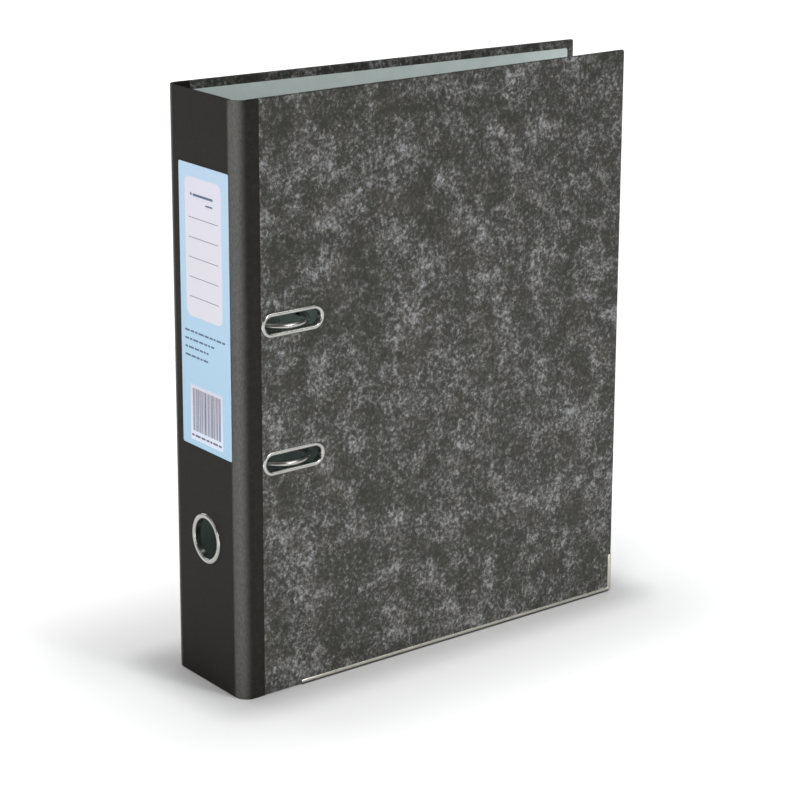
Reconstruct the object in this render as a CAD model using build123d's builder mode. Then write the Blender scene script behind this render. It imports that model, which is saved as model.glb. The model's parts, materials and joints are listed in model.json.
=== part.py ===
from build123d import *
import os
from math import cos, radians, sin, tan

# A foolscap lever arch file, closed and standing on its lower edge. Millimetres, +Z up.
# Origin: middle of the file's plan, at the lower edge. X runs from the spine to the fore-edge,
# Y from the front cover to the back cover.

os.makedirs("parts", exist_ok=True)

# The case
HEIGHT = 345.0
WIDTH = 290.0
DEPTH = 75.0
LEAN_DEGREES = 4.5  # the closed front cover leans in towards the back cover
LEAN = radians(LEAN_DEGREES)
PAPER = 0.4
BOARD = 2.0
LINING = 0.4
COVER = PAPER + BOARD + LINING
CORNER_R = 9.0  # outside radius of the cloth round a hinge
CLOTH_LAP = 15.5  # the cloth reaches this far on to each cover
LINING_INSET = 5.0
SPINE_LINING_INSET = 4.0

# Edge rails
RAIL = 0.4
RAIL_START = 42.0
RAIL_RISE = 25.0
RAIL_LEG = 3.0

# Finger ring in the spine
RING_Z = 88.0
RING_HOLE_R = 11.75
RING_OUT_R = 14.8
RING_PROUD = 0.9
RING_ROLL = 0.6  # the rim's roll goes this far down inside the hole
RING_WALL = 0.5
RING_CLENCH = 1.0
RING_WASHER_R = 14.5

# Slots in the front cover for the arches
SLOT_S = 37.5  # along the front cover from the spine
SLOT_Z = (138.0, 218.0)
SLOT_OUT = (43.4, 13.6)
SLOT_RIM = 2.1
SLOT_PROUD = 0.9
SLOT_CREST_R = 0.72
SLOT_WALL = 0.4
SLOT_CLENCH = 0.8
SLOT_WASHER_RIM = 1.9
WASHER = 0.5
FLARE = 0.4
RUN = 0.05  # radial room between parts that turn or go through one another

# Spine label
LABEL = (52.0, 163.0)
LABEL_Z = 141.0
LABEL_SHIFT = 3.0  # from the spine's middle towards the front cover
LABEL_CORNER_R = 1.0
LABEL_T = 0.2

# Lever arch mechanism: u from the spine's outer face, h from the back cover's lining
ARCH_DROP = 2.3  # the arches stand this much below their slots' middles
ARCH_Z = tuple(z - ARCH_DROP for z in SLOT_Z)
SHAFT_U = 17.0
SHAFT_H = 5.0
POST_U = 57.0
WIRE_R = 1.7
BEND_R = 4.0
ARCH_R = (POST_U - SHAFT_U) / 2
ARCH_PROUD = 1.0  # the closed arches stand out of the slots by this much
WIRE_TIP = 1.3
POST_R = 2.5
POST_TOP = 46.2
POST_SPIGOT_R = 1.8
POST_MOUTH_R = 1.85
POST_SEAT_R = 0.5
POST_MOUTH = 1.35
MEETING_GAP = 0.3
BASE_T = 1.2
BASE_U = (9.0, 65.0)
BASE_Z = (121.0, 231.0)
BASE_CORNER_R = 6.0
SHAFT_EAR_Z = (142.3, 186.0, 205.0)
SHAFT_EAR_T = 1.6
SHAFT_EAR_W = 8.4
CRANK_U = 47.0
CRANK_Z = (149.0, 166.0)
SPRING_WIRE_R = 0.45
SPRING_R = 2.6
SPRING_Z = (189.0, 201.0)
SPRING_PITCH = 1.5

# Lever: pivot and roller, with the lever lying flat
PIVOT_Z = 174.8
PIVOT_H = 12.0
PIVOT_R = 2.0
PIVOT_EAR_R = 3.6
PIVOT_HEAD = (3.0, 0.7)
EAR_U = (43.0, 49.8)
ROLLER_Z = 154.0
ROLLER_H = 11.0
ROLLER_R = 4.0
ROLLER_W = 7.0
ROLLER_CHAMFER = 0.4
ROLLER_PIN_R = 1.5
ROLLER_PIN_HEAD = (2.4, 0.5)
LEVER_W = 11.0
SHEET = 1.2
WEB_H = 17.5
LEVER_NOSE = 4.6  # the channel runs past its pivot by this much
CHEEK_LOW_H = 7.4
CHEEK_ARCH_H = 10.8  # between pivot and roller the sides are arched over the crank
CHEEK_PIVOT_H = 8.0
CHEEK_END_Z = 130.0  # from here to the handle the sides run out
CHEEK_END_H = 11.5
LEVER_END_Z = 76.0
HANDLE_Z = 108.0
HANDLE_W = 20.0
HANDLE_SHOULDER = 9.0
HANDLE_CORNER_R = 6.0

# Compressor bar on the posts
BAR_U = (54.0, 68.0)
BAR_Z = (126.0, 225.0)
BAR_H = 8.0
BAR_T = 1.5
BAR_CORNER_R = 2.0
NOTCH_R = 2.9
CLIP_U = (57.0, 66.0)
CLIP_Z = (167.0, 184.0)
CLIP_T = 2.5
CLIP_CORNER_R = 1.5
TONGUE_U = 64.0
TONGUE = (1.1, 7.8)
WINDOW = (1.2, 8.0)

# Rivets
RIVET_U = (28.0, 61.0)
RIVET_Z = (127.0, 225.0)
RIVET_R = 2.0
RIVET_HEAD_R = 4.5
RIVET_CLENCH_R = 3.2
RIVET_HEAD = 0.8
RIVET_TAPER = 20.0

# Frames of the three panels: local x runs along the panel from its corner, z up.
# INWARD says which way local y has to go to reach the inside of the file.
front = Plane(
    origin=(-WIDTH / 2, -DEPTH / 2, 0), x_dir=(cos(LEAN), sin(LEAN), 0), z_dir=(0, 0, 1)
)
back = Plane(origin=(-WIDTH / 2, DEPTH / 2, 0), x_dir=(1, 0, 0), z_dir=(0, 0, 1))
spine = Plane(origin=(-WIDTH / 2, -DEPTH / 2, 0), x_dir=(0, 1, 0), z_dir=(0, 0, 1))
INWARD = {"front": 1, "back": -1, "spine": -1}
PANEL = {"front": front, "back": back, "spine": spine}

FRONT_TANGENT = CORNER_R * tan((radians(90) + LEAN) / 2)
BACK_TANGENT = CORNER_R
BACK_IN = DEPTH / 2 - COVER
ARCH_TOP_H = DEPTH - COVER - (SHAFT_U + ARCH_R) * tan(LEAN) + ARCH_PROUD
ARCH_CENTRE_H = ARCH_TOP_H - WIRE_R - ARCH_R
RING_TUBE_R = RING_HOLE_R + RING_WALL
THROUGH = 1.0  # cuts start and end this far outside what they go through


def slab(panel, s, n, z, mode=Mode.ADD):
    """A box on a panel: s along it from its corner, n inward from its outer face, z up."""
    with BuildSketch(PANEL[panel].offset(z[0])) as outline:
        with Locations(((s[0] + s[1]) / 2, INWARD[panel] * (n[0] + n[1]) / 2)):
            Rectangle(s[1] - s[0], n[1] - n[0])
    extrude(outline.sketch, amount=z[1] - z[0], mode=mode)


def face_on(panel, s, z, n=0.0):
    """A sketch plane on a panel at depth n, looking outward, with its local y up."""
    frame = PANEL[panel]
    outward = frame.y_dir * -INWARD[panel]
    along = Vector(0, 0, 1).cross(outward)
    centre = frame.origin + frame.x_dir * s - outward * n + Vector(0, 0, z)
    return Plane(origin=centre, x_dir=along, z_dir=outward)


def at(u, h, z):
    """A point of the mechanism, given from the spine and from the back cover's lining."""
    return (u - WIDTH / 2, BACK_IN - h, z)


def raised(u, z, h=0.0):
    """A sketch plane parallel to the back cover's lining at height h above it, looking away from it."""
    return Plane(origin=at(u, h, z), x_dir=(1, 0, 0), z_dir=(0, -1, 0))


def side_plane(u):
    """A sketch plane square to the lever's pin: local x is z, local y is h."""
    return Plane(origin=at(u, 0, 0), x_dir=(0, 0, 1), z_dir=(1, 0, 0))


def corner_band(centre, start, sweep_angle):
    """The cloth round half of a hinge, as a sketch."""
    with BuildSketch() as band:
        with BuildLine():
            outer = CenterArc(centre, CORNER_R, start, sweep_angle)
            inner = CenterArc(centre, CORNER_R - PAPER, start, sweep_angle)
            Line(outer @ 0, inner @ 0)
            Line(outer @ 1, inner @ 1)
        make_face()
    return band.sketch


def board(panel, s, z_low):
    slab(panel, s, (PAPER, PAPER + BOARD), (z_low, HEIGHT - PAPER))


def hollow_for_board(panel, s, z_low, lining_s, inset):
    """Cuts the board's and the lining's room out of a paper or cloth that is folded round them."""
    slab(panel, s, (PAPER, PAPER + BOARD), (z_low, HEIGHT - PAPER), Mode.SUBTRACT)
    slab(panel, lining_s, (COVER - LINING, COVER), (inset, HEIGHT - inset), Mode.SUBTRACT)


def slot_outline(grow):
    """The slot's clear opening, grown by this much all round, in the sketch being built."""
    length, height = SLOT_OUT
    SlotOverall(length + 2 * (grow - SLOT_RIM), height + 2 * (grow - SLOT_RIM))


def cut_slots():
    """Room for the eyelets' tubes through one layer of the front cover."""
    for z in SLOT_Z:
        with BuildSketch(face_on("front", SLOT_S, z, COVER + THROUGH)) as opening:
            slot_outline(SLOT_WALL + RUN)
        extrude(opening.sketch, amount=COVER + 2 * THROUGH, mode=Mode.SUBTRACT)


def cut_ring_hole():
    with BuildSketch(face_on("spine", DEPTH / 2, RING_Z, COVER + THROUGH)) as opening:
        Circle(RING_TUBE_R + RUN)
    extrude(opening.sketch, amount=COVER + 2 * THROUGH, mode=Mode.SUBTRACT)


def cut_rivet_holes():
    for u in RIVET_U:
        for z in RIVET_Z:
            with BuildSketch(raised(u, z, -COVER - THROUGH)) as opening:
                Circle(RIVET_R + RUN)
            extrude(opening.sketch, amount=COVER + BASE_T + 2 * THROUGH, mode=Mode.SUBTRACT)


def finish(builder, name):
    builder.part.label = name
    export_step(builder.part, f"parts/{name}.step")


# Boards -----------------------------------------------------------------------------------------

with BuildPart() as front_board:
    board("front", (FRONT_TANGENT, WIDTH - PAPER), RAIL + PAPER)
    cut_slots()
finish(front_board, "front_board")

with BuildPart() as back_board:
    board("back", (BACK_TANGENT, WIDTH - PAPER), RAIL + PAPER)
    cut_rivet_holes()
finish(back_board, "back_board")

SPINE_S = (FRONT_TANGENT, DEPTH - BACK_TANGENT)
with BuildPart() as spine_board:
    board("spine", SPINE_S, PAPER)
    cut_ring_hole()
finish(spine_board, "spine_board")

# Marbled paper, folded round three edges of each cover --------------------------------------------


def cover_paper(panel):
    slab(panel, (CLOTH_LAP, WIDTH), (0, COVER), (RAIL, HEIGHT))
    hollow_for_board(
        panel,
        (CLOTH_LAP, WIDTH - PAPER),
        RAIL + PAPER,
        (CLOTH_LAP, WIDTH - LINING_INSET),
        LINING_INSET,
    )


with BuildPart() as front_cover_paper:
    cover_paper("front")
    cut_slots()
finish(front_cover_paper, "front_cover_paper")

with BuildPart() as back_cover_paper:
    cover_paper("back")
    cut_rivet_holes()
finish(back_cover_paper, "back_cover_paper")

# Cloth: one strip on the real file, in three nodes because it bends at both hinges ----------------

FRONT_ARC_CENTRE = (-WIDTH / 2 + CORNER_R, -DEPTH / 2 + FRONT_TANGENT)
BACK_ARC_CENTRE = (-WIDTH / 2 + CORNER_R, DEPTH / 2 - CORNER_R)
FRONT_HALF_TURN = (90 + LEAN_DEGREES) / 2
BACK_HALF_TURN = 45.0

with BuildPart() as spine_wrap:
    slab("spine", SPINE_S, (0, COVER), (0, HEIGHT))
    hollow_for_board("spine", SPINE_S, PAPER, SPINE_S, SPINE_LINING_INSET)
    extrude(corner_band(FRONT_ARC_CENTRE, 180, FRONT_HALF_TURN), amount=HEIGHT)
    extrude(corner_band(BACK_ARC_CENTRE, 180, -BACK_HALF_TURN), amount=HEIGHT)
    cut_ring_hole()
finish(spine_wrap, "spine_wrap")


def hinge_cloth(panel, tangent, arc_centre, start, half_turn):
    slab(panel, (tangent, CLOTH_LAP), (0, COVER), (0, HEIGHT))
    hollow_for_board(
        panel, (tangent, CLOTH_LAP), RAIL + PAPER, (tangent, CLOTH_LAP), LINING_INSET
    )
    extrude(corner_band(arc_centre, start, half_turn), amount=HEIGHT)


with BuildPart() as front_hinge_cloth:
    hinge_cloth(
        "front", FRONT_TANGENT, FRONT_ARC_CENTRE, 180 + FRONT_HALF_TURN, FRONT_HALF_TURN
    )
finish(front_hinge_cloth, "front_hinge_cloth")

with BuildPart() as back_hinge_cloth:
    hinge_cloth("back", BACK_TANGENT, BACK_ARC_CENTRE, 180 - BACK_HALF_TURN, -BACK_HALF_TURN)
finish(back_hinge_cloth, "back_hinge_cloth")

# Linings ------------------------------------------------------------------------------------------


def lining(panel, s, inset):
    slab(panel, s, (COVER - LINING, COVER), (inset, HEIGHT - inset))


with BuildPart() as front_lining:
    lining("front", (FRONT_TANGENT, WIDTH - LINING_INSET), LINING_INSET)
    cut_slots()
finish(front_lining, "front_lining")

with BuildPart() as back_lining:
    lining("back", (BACK_TANGENT, WIDTH - LINING_INSET), LINING_INSET)
    cut_rivet_holes()
finish(back_lining, "back_lining")

with BuildPart() as spine_lining:
    lining("spine", SPINE_S, SPINE_LINING_INSET)
    cut_ring_hole()
finish(spine_lining, "spine_lining")

# Spine label --------------------------------------------------------------------------------------

with BuildPart() as spine_label:
    label_middle = face_on("spine", DEPTH / 2 - LABEL_SHIFT, LABEL_Z + LABEL[1] / 2)
    with BuildSketch(label_middle) as outline:
        RectangleRounded(LABEL[0], LABEL[1], LABEL_CORNER_R)
    extrude(outline.sketch, amount=LABEL_T)
finish(spine_label, "spine_label")

# Finger ring: one drawn tube with a rolled rim, clenched over a washer inside the spine --------------

ring_axis = Axis((-WIDTH / 2, 0, RING_Z), (1, 0, 0))
ring_plane = Plane(origin=(-WIDTH / 2, 0, RING_Z), x_dir=(1, 0, 0), z_dir=(0, -1, 0))
RING_END = COVER + WASHER + FLARE
RING_CREST = (RING_HOLE_R + RING_OUT_R) / 2
RING_CLENCH_R = RING_TUBE_R + RING_CLENCH

with BuildPart() as finger_ring:
    with BuildSketch(ring_plane) as profile:
        with BuildLine():
            ThreePointArc(
                (0, RING_OUT_R),
                (-RING_PROUD, RING_CREST),
                (RING_ROLL, RING_HOLE_R),
            )
            Polyline(
                (RING_ROLL, RING_HOLE_R),
                (RING_END, RING_HOLE_R),
                (RING_END, RING_CLENCH_R),
                (COVER + WASHER, RING_CLENCH_R),
                (COVER + WASHER, RING_TUBE_R),
                (0, RING_TUBE_R),
                (0, RING_OUT_R),
            )
        make_face()
    revolve(profile.sketch, axis=ring_axis)
finish(finger_ring, "finger_ring")

with BuildPart() as finger_ring_washer:
    with BuildSketch(face_on("spine", DEPTH / 2, RING_Z, COVER + WASHER)) as outline:
        Circle(RING_WASHER_R)
        Circle(RING_TUBE_R + RUN, mode=Mode.SUBTRACT)
    extrude(outline.sketch, amount=WASHER)
finish(finger_ring_washer, "finger_ring_washer")

# Oblong slot eyelets and their washers ------------------------------------------------------------


def oblong(z, n, grow, amount, hollow=0.0):
    """An oblong ring round a slot's opening, from depth n outward; hollow grows its inside."""
    plane = face_on("front", SLOT_S, z, n)
    with BuildSketch(plane) as outside:
        slot_outline(grow)
    with BuildSketch(plane) as inside:
        slot_outline(hollow)
    extrude(outside.sketch - inside.sketch, amount=amount)


def slot_eyelet(z):
    """The rim outside, the tube through the cover and the edge clenched over the washer."""
    oblong(z, 0, SLOT_RIM, SLOT_PROUD)
    outward = Axis((0, 0, 0), (sin(LEAN), -cos(LEAN), 0))
    crest = faces().sort_by(outward)[-1]
    fillet(crest.edges(), SLOT_CREST_R)
    depth = COVER + WASHER + FLARE
    oblong(z, depth, SLOT_WALL, depth)
    oblong(z, depth, SLOT_WALL + SLOT_CLENCH, FLARE)


with BuildPart() as lower_slot_eyelet:
    slot_eyelet(SLOT_Z[0])
finish(lower_slot_eyelet, "lower_slot_eyelet")

with BuildPart() as upper_slot_eyelet:
    slot_eyelet(SLOT_Z[1])
finish(upper_slot_eyelet, "upper_slot_eyelet")

with BuildPart() as lower_slot_washer:
    oblong(SLOT_Z[0], COVER + WASHER, SLOT_WASHER_RIM, WASHER, SLOT_WALL + RUN)
finish(lower_slot_washer, "lower_slot_washer")

with BuildPart() as upper_slot_washer:
    oblong(SLOT_Z[1], COVER + WASHER, SLOT_WASHER_RIM, WASHER, SLOT_WALL + RUN)
finish(upper_slot_washer, "upper_slot_washer")

# Edge rails: a channel under each cover's lower edge, turned up the fore-edge ------------------------


def edge_rail(panel):
    slab(panel, (RAIL_START, WIDTH + RAIL), (-RAIL, COVER + RAIL), (0, RAIL_LEG))
    slab(panel, (WIDTH - RAIL_LEG, WIDTH + RAIL), (-RAIL, COVER + RAIL), (0, RAIL_RISE))
    slab(panel, (RAIL_START, WIDTH), (0, COVER), (RAIL, RAIL_RISE), Mode.SUBTRACT)


with BuildPart() as front_edge_rail:
    edge_rail("front")
finish(front_edge_rail, "front_edge_rail")

with BuildPart() as back_edge_rail:
    edge_rail("back")
finish(back_edge_rail, "back_edge_rail")

# Base plate: sheet steel with ears for the shaft and the lever's pin ---------------------------------

BASE_MID = ((BASE_U[0] + BASE_U[1]) / 2, (BASE_Z[0] + BASE_Z[1]) / 2)


def shaft_ear(z):
    """An ear across the shaft, with the hole that the wire turns in."""
    with BuildSketch(Plane(origin=at(SHAFT_U, 0, z), x_dir=(1, 0, 0), z_dir=(0, 0, 1))) as ear:
        with Locations((0, -SHAFT_H / 2)):
            Rectangle(SHAFT_EAR_W, SHAFT_H)
        with Locations((0, -SHAFT_H)):
            Circle(SHAFT_EAR_W / 2)
            Circle(WIRE_R + RUN, mode=Mode.SUBTRACT)
        with Locations((0, SHAFT_EAR_W / 2 - BASE_T / 2)):
            Rectangle(SHAFT_EAR_W, SHAFT_EAR_W, mode=Mode.SUBTRACT)
    extrude(ear.sketch, amount=SHAFT_EAR_T / 2, both=True)


def pivot_ear(u):
    """An ear along the lever's side, with the pin's hole."""
    with BuildSketch(side_plane(u)) as ear:
        with Locations((PIVOT_Z, PIVOT_H / 2)):
            Rectangle(2 * PIVOT_EAR_R, PIVOT_H)
        with Locations((PIVOT_Z, PIVOT_H)):
            Circle(PIVOT_EAR_R)
            Circle(PIVOT_R + RUN, mode=Mode.SUBTRACT)
    extrude(ear.sketch, amount=SHEET)


with BuildPart() as base_plate:
    with BuildSketch(raised(*BASE_MID)) as outline:
        RectangleRounded(BASE_U[1] - BASE_U[0], BASE_Z[1] - BASE_Z[0], BASE_CORNER_R)
    extrude(outline.sketch, amount=BASE_T)
    for ear_z in SHAFT_EAR_Z:
        shaft_ear(ear_z)
    for ear_u in EAR_U:
        pivot_ear(ear_u)
    for post_z in ARCH_Z:
        with BuildSketch(raised(POST_U, post_z)) as hole:
            Circle(POST_SPIGOT_R)
        extrude(hole.sketch, amount=BASE_T, mode=Mode.SUBTRACT)
    cut_rivet_holes()
finish(base_plate, "base_plate")

# Posts: tubes riveted to the base plate, with a countersunk top for the arch's tip --------------------


def post(z):
    with BuildSketch(raised(POST_U, z, BASE_T)) as outline:
        Circle(POST_R)
    extrude(outline.sketch, amount=POST_TOP - BASE_T)
    with BuildSketch(raised(POST_U, z)) as spigot:
        Circle(POST_SPIGOT_R)
    extrude(spigot.sketch, amount=BASE_T)
    with BuildSketch(raised(POST_U, z, POST_TOP)) as mouth:
        Circle(POST_MOUTH_R)
    with BuildSketch(raised(POST_U, z, POST_TOP - POST_MOUTH)) as seat:
        Circle(POST_SEAT_R)
    loft([mouth.sketch.face(), seat.sketch.face()], mode=Mode.SUBTRACT)


with BuildPart() as lower_post:
    post(ARCH_Z[0])
finish(lower_post, "lower_post")

with BuildPart() as upper_post:
    post(ARCH_Z[1])
finish(upper_post, "upper_post")

# Arch wire: both arches, the shaft and the crank in one bent wire -------------------------------------

ARCH_FOOT = POST_TOP + MEETING_GAP

with BuildPart() as arch_wire:
    with BuildLine() as bail:
        Line(at(POST_U, ARCH_FOOT, ARCH_Z[1]), at(POST_U, ARCH_CENTRE_H, ARCH_Z[1]))
        ThreePointArc(
            at(POST_U, ARCH_CENTRE_H, ARCH_Z[1]),
            at(SHAFT_U + ARCH_R, ARCH_CENTRE_H + ARCH_R, ARCH_Z[1]),
            at(SHAFT_U, ARCH_CENTRE_H, ARCH_Z[1]),
        )
        FilletPolyline(
            at(SHAFT_U, ARCH_CENTRE_H, ARCH_Z[1]),
            at(SHAFT_U, SHAFT_H, ARCH_Z[1]),
            at(SHAFT_U, SHAFT_H, CRANK_Z[1]),
            at(CRANK_U, SHAFT_H, CRANK_Z[1]),
            at(CRANK_U, SHAFT_H, CRANK_Z[0]),
            at(SHAFT_U, SHAFT_H, CRANK_Z[0]),
            at(SHAFT_U, SHAFT_H, ARCH_Z[0]),
            at(SHAFT_U, ARCH_CENTRE_H, ARCH_Z[0]),
            radius=BEND_R,
        )
        ThreePointArc(
            at(SHAFT_U, ARCH_CENTRE_H, ARCH_Z[0]),
            at(SHAFT_U + ARCH_R, ARCH_CENTRE_H + ARCH_R, ARCH_Z[0]),
            at(POST_U, ARCH_CENTRE_H, ARCH_Z[0]),
        )
        Line(at(POST_U, ARCH_CENTRE_H, ARCH_Z[0]), at(POST_U, ARCH_FOOT, ARCH_Z[0]))
    with BuildSketch(raised(POST_U, ARCH_Z[1], ARCH_FOOT)) as section:
        Circle(WIRE_R)
    sweep(section.sketch, path=bail.line)
    for tip_z in ARCH_Z:
        with BuildSketch(raised(POST_U, tip_z, ARCH_FOOT)) as root:
            Circle(WIRE_R)
        with BuildSketch(raised(POST_U, tip_z, ARCH_FOOT - WIRE_TIP)) as point:
            Circle(WIRE_R - WIRE_TIP)
        loft([root.sketch.face(), point.sketch.face()])
finish(arch_wire, "arch_wire")

# Arch spring: a coil round the shaft, between two of its ears -----------------------------------------

with BuildPart() as arch_spring:
    with BuildLine() as coil:
        Helix(
            SPRING_PITCH,
            SPRING_Z[1] - SPRING_Z[0],
            SPRING_R,
            center=at(SHAFT_U, SHAFT_H, SPRING_Z[0]),
        )
    with BuildSketch(Plane(origin=coil.line @ 0, z_dir=coil.line % 0)) as section:
        Circle(SPRING_WIRE_R)
    sweep(section.sketch, path=coil.line, is_frenet=True)
finish(arch_spring, "arch_spring")

# Lever: a channel of sheet steel whose web runs on into the handle --------------------------------------

LEVER_U = (CRANK_U - LEVER_W / 2, CRANK_U + LEVER_W / 2)


def cheek(u):
    """One side of the channel, round the pivot and the roller."""
    with BuildSketch(side_plane(u)) as outline:
        with BuildLine():
            Polyline(
                (PIVOT_Z + LEVER_NOSE, WEB_H),
                (HANDLE_Z, WEB_H),
                (HANDLE_Z, WEB_H - SHEET),
                (CHEEK_END_Z, CHEEK_END_H),
                (ROLLER_Z - 6, CHEEK_LOW_H),
                (ROLLER_Z + 3.5, CHEEK_LOW_H),
                (ROLLER_Z + 6, CHEEK_ARCH_H),
                (PIVOT_Z - 5, CHEEK_ARCH_H),
                (PIVOT_Z - 3.5, CHEEK_PIVOT_H),
                (PIVOT_Z + 2.5, CHEEK_PIVOT_H),
                (PIVOT_Z + LEVER_NOSE, CHEEK_PIVOT_H + 2),
                close=True,
            )
        make_face()
        with Locations((PIVOT_Z, PIVOT_H)):
            Circle(PIVOT_R + RUN, mode=Mode.SUBTRACT)
        with Locations((ROLLER_Z, ROLLER_H)):
            Circle(ROLLER_PIN_R, mode=Mode.SUBTRACT)
    extrude(outline.sketch, amount=SHEET)


with BuildPart() as lever:
    cheek(LEVER_U[0])
    cheek(LEVER_U[1] - SHEET)
    with BuildSketch(raised(CRANK_U, 0, WEB_H - SHEET)) as web:
        with Locations((0, (PIVOT_Z + LEVER_NOSE + HANDLE_Z) / 2)):
            Rectangle(LEVER_W, PIVOT_Z + LEVER_NOSE - HANDLE_Z)
    extrude(web.sketch, amount=SHEET)
    with BuildSketch(raised(CRANK_U, 0, WEB_H - SHEET)) as handle:
        with BuildLine():
            Polyline(
                (-LEVER_W / 2, HANDLE_Z),
                (-HANDLE_W / 2, HANDLE_Z - HANDLE_SHOULDER),
                (-HANDLE_W / 2, LEVER_END_Z),
                (HANDLE_W / 2, LEVER_END_Z),
                (HANDLE_W / 2, HANDLE_Z - HANDLE_SHOULDER),
                (LEVER_W / 2, HANDLE_Z),
                close=True,
            )
        make_face()
        fillet(handle.vertices().group_by(Axis.Y)[0], HANDLE_CORNER_R)
    extrude(handle.sketch, amount=SHEET)
finish(lever, "lever")


def headed_pin(z, h, radius, head, play):
    """A pin across the lever, with a riveted head at each end, this much play from its sides."""
    head_r, head_t = head
    ends = (LEVER_U[0] - play, LEVER_U[1] + play)
    with BuildSketch(side_plane(ends[0])) as shank:
        with Locations((z, h)):
            Circle(radius)
    extrude(shank.sketch, amount=ends[1] - ends[0])
    for u, reach in ((ends[0], -head_t), (ends[1], head_t)):
        with BuildSketch(side_plane(u)) as rivet:
            with Locations((z, h)):
                Circle(head_r)
        extrude(rivet.sketch, amount=reach)


with BuildPart() as lever_pin:
    headed_pin(PIVOT_Z, PIVOT_H, PIVOT_R, PIVOT_HEAD, play=2 * RUN)
finish(lever_pin, "lever_pin")

with BuildPart() as roller_pin:
    headed_pin(ROLLER_Z, ROLLER_H, ROLLER_PIN_R, ROLLER_PIN_HEAD, play=0)
finish(roller_pin, "roller_pin")

with BuildPart() as roller:
    with BuildSketch(side_plane(CRANK_U - ROLLER_W / 2)) as outline:
        with Locations((ROLLER_Z, ROLLER_H)):
            Circle(ROLLER_R)
            Circle(ROLLER_PIN_R + RUN, mode=Mode.SUBTRACT)
    extrude(outline.sketch, amount=ROLLER_W)
    rims = roller.edges().filter_by(GeomType.CIRCLE).filter_by(lambda e: e.radius == ROLLER_R)
    chamfer(rims, ROLLER_CHAMFER)
finish(roller, "roller")

# Rivets through the back cover ------------------------------------------------------------------------

with BuildPart() as mechanism_rivets:
    for rivet_u in RIVET_U:
        for rivet_z in RIVET_Z:
            with BuildSketch(raised(rivet_u, rivet_z, -COVER)) as shank:
                Circle(RIVET_R)
            extrude(shank.sketch, amount=COVER + BASE_T)
            with BuildSketch(raised(rivet_u, rivet_z, -COVER)) as head:
                Circle(RIVET_HEAD_R)
            extrude(head.sketch, amount=-RIVET_HEAD, taper=RIVET_TAPER)
            with BuildSketch(raised(rivet_u, rivet_z, BASE_T)) as clench:
                Circle(RIVET_CLENCH_R)
            extrude(clench.sketch, amount=RIVET_HEAD, taper=RIVET_TAPER)
finish(mechanism_rivets, "mechanism_rivets")

# Compressor bar and clip ------------------------------------------------------------------------------

BAR_MID = ((BAR_U[0] + BAR_U[1]) / 2, (BAR_Z[0] + BAR_Z[1]) / 2)
CLIP_MID = ((CLIP_U[0] + CLIP_U[1]) / 2, (CLIP_Z[0] + CLIP_Z[1]) / 2)

with BuildPart() as compressor_bar:
    with BuildSketch(raised(*BAR_MID, BAR_H)) as outline:
        RectangleRounded(BAR_U[1] - BAR_U[0], BAR_Z[1] - BAR_Z[0], BAR_CORNER_R)
    extrude(outline.sketch, amount=BAR_T)
    for notch_z in ARCH_Z:
        with BuildSketch(raised(POST_U, notch_z, BAR_H)) as notch:
            Circle(NOTCH_R)
            with Locations((-NOTCH_R, 0)):
                Rectangle(2 * NOTCH_R, 2 * NOTCH_R)
        extrude(notch.sketch, amount=BAR_T, mode=Mode.SUBTRACT)
    with BuildSketch(raised(TONGUE_U, CLIP_MID[1], BAR_H)) as window:
        Rectangle(*WINDOW)
    extrude(window.sketch, amount=BAR_T, mode=Mode.SUBTRACT)
finish(compressor_bar, "compressor_bar")

with BuildPart() as compressor_clip:
    with BuildSketch(raised(*CLIP_MID, BAR_H + BAR_T)) as pad:
        RectangleRounded(CLIP_U[1] - CLIP_U[0], CLIP_Z[1] - CLIP_Z[0], CLIP_CORNER_R)
    extrude(pad.sketch, amount=CLIP_T)
    with BuildSketch(raised(TONGUE_U, CLIP_MID[1], BAR_H)) as tongue:
        Rectangle(*TONGUE)
    extrude(tongue.sketch, amount=BAR_T)
finish(compressor_clip, "compressor_clip")
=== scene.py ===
import json
from math import cos, pi, radians, sin, tan

import bmesh
import bpy
from mathutils import Matrix, Vector


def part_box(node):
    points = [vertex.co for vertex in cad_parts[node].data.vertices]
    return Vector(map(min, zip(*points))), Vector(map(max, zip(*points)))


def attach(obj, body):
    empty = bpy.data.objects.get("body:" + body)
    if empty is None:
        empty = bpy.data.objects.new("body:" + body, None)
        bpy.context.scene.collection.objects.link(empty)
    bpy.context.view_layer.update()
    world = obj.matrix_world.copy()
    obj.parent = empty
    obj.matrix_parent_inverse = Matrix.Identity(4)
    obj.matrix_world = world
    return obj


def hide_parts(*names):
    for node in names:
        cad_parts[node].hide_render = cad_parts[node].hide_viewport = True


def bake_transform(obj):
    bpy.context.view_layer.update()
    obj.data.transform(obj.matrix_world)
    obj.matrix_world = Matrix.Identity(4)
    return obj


# The looks of a foolscap lever arch file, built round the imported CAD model.
# Sizes here are millimetres, in the CAD's frame, and meshes are written in metres.

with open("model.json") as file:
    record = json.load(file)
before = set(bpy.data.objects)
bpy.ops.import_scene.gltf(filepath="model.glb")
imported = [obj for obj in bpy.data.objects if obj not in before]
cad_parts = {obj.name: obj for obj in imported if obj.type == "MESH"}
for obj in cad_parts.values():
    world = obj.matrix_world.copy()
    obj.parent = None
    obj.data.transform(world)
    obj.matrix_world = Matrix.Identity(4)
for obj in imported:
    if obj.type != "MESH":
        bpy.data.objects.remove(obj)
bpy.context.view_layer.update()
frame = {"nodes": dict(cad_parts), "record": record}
MM = 0.001

# Places taken from the CAD -----------------------------------------------------------------------

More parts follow.
